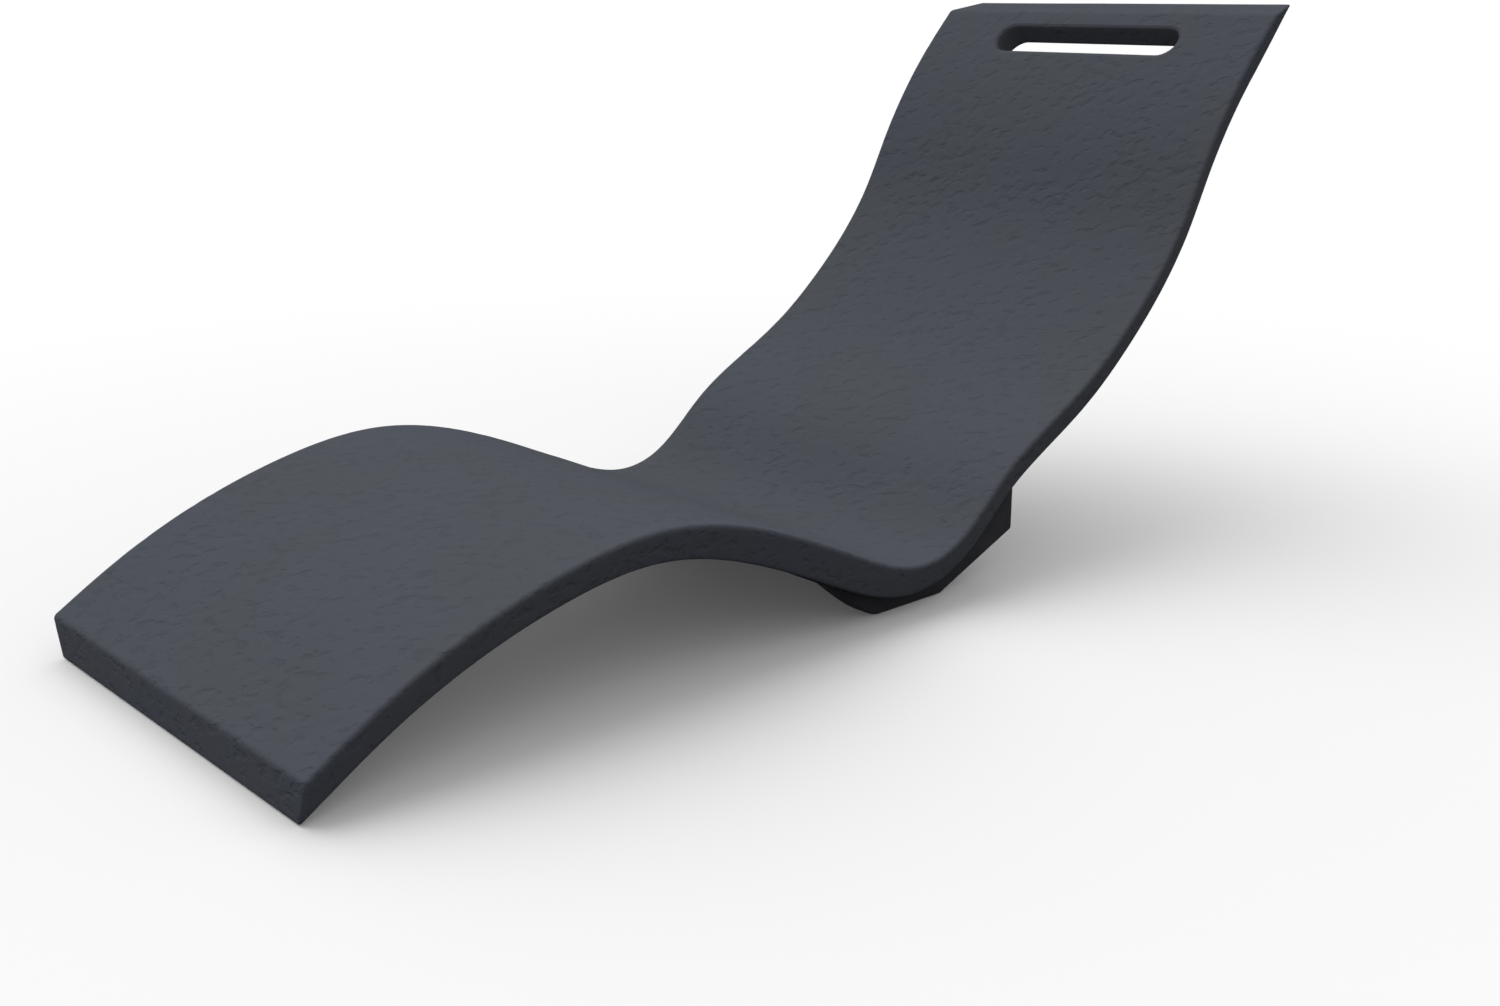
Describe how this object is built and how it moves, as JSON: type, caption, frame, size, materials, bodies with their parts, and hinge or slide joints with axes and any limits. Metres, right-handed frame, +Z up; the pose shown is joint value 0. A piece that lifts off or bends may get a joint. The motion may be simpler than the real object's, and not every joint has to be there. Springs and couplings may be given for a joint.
{
  "type": "sun lounger",
  "caption": "Wave-shaped moulded sun lounger with a slate-textured deck, a hand slot through the head end and a ballasted base block under the seat.",
  "frame": {"origin": "on the ground under the middle of the lounger's length and width", "axes": "+Z up, +Y from the foot end to the head end, +X across, to the left of a person lying on it"},
  "size_m": [0.6506, 1.7322, 0.7892],
  "materials": {
    "slate_shell": "matt, moulded slate texture",
    "foam": "closed-cell foam",
    "cap_plastic": "satin",
    "base_plastic": "matt, fine moulded grain",
    "sand": "dry sand",
    "brass": "turned",
    "stainless": "stainless, satin",
    "rubber": "matt",
    "seal_rubber": "matt",
    "plug_plastic": "satin"
  },
  "bodies": {
    "lounger": {"deck_shell": "slate_shell", "deck_foam_core": "foam", "foam_port_plug": "cap_plastic", "deck_insert_1": "brass", "deck_insert_2": "brass", "deck_insert_3": "brass", "deck_insert_4": "brass", "base_shell": "base_plastic", "base_ballast": "sand", "base_bolt_1": "stainless", "base_bolt_2": "stainless", "base_bolt_3": "stainless", "base_bolt_4": "stainless", "base_washer_1": "stainless", "base_washer_2": "stainless", "base_washer_3": "stainless", "base_washer_4": "stainless", "base_pad_1": "rubber", "base_pad_2": "rubber", "base_pad_3": "rubber", "base_pad_4": "rubber", "foot_glide_left": "rubber", "foot_glide_right": "rubber"},
    "seal": {"pour_plug_seal": "seal_rubber"},
    "plug": {"pour_plug": "plug_plastic"}
  },
  "joints": [
    {"name": "seal_travel", "type": "slide", "parent": "lounger", "child": "seal", "axis": [0, 1, 0], "range_m": [0, 0.0161]},
    {"name": "plug_turn", "type": "hinge", "parent": "seal", "child": "plug", "pos_m": [0, 0.28518, 0.11422], "axis": [0, 1, 0], "range_deg": [0, 1440]}
  ],
  "couplings": [
    {"joint": "seal_travel", "follows": "plug_turn", "m_per_rad": 0.00063662}
  ]
}
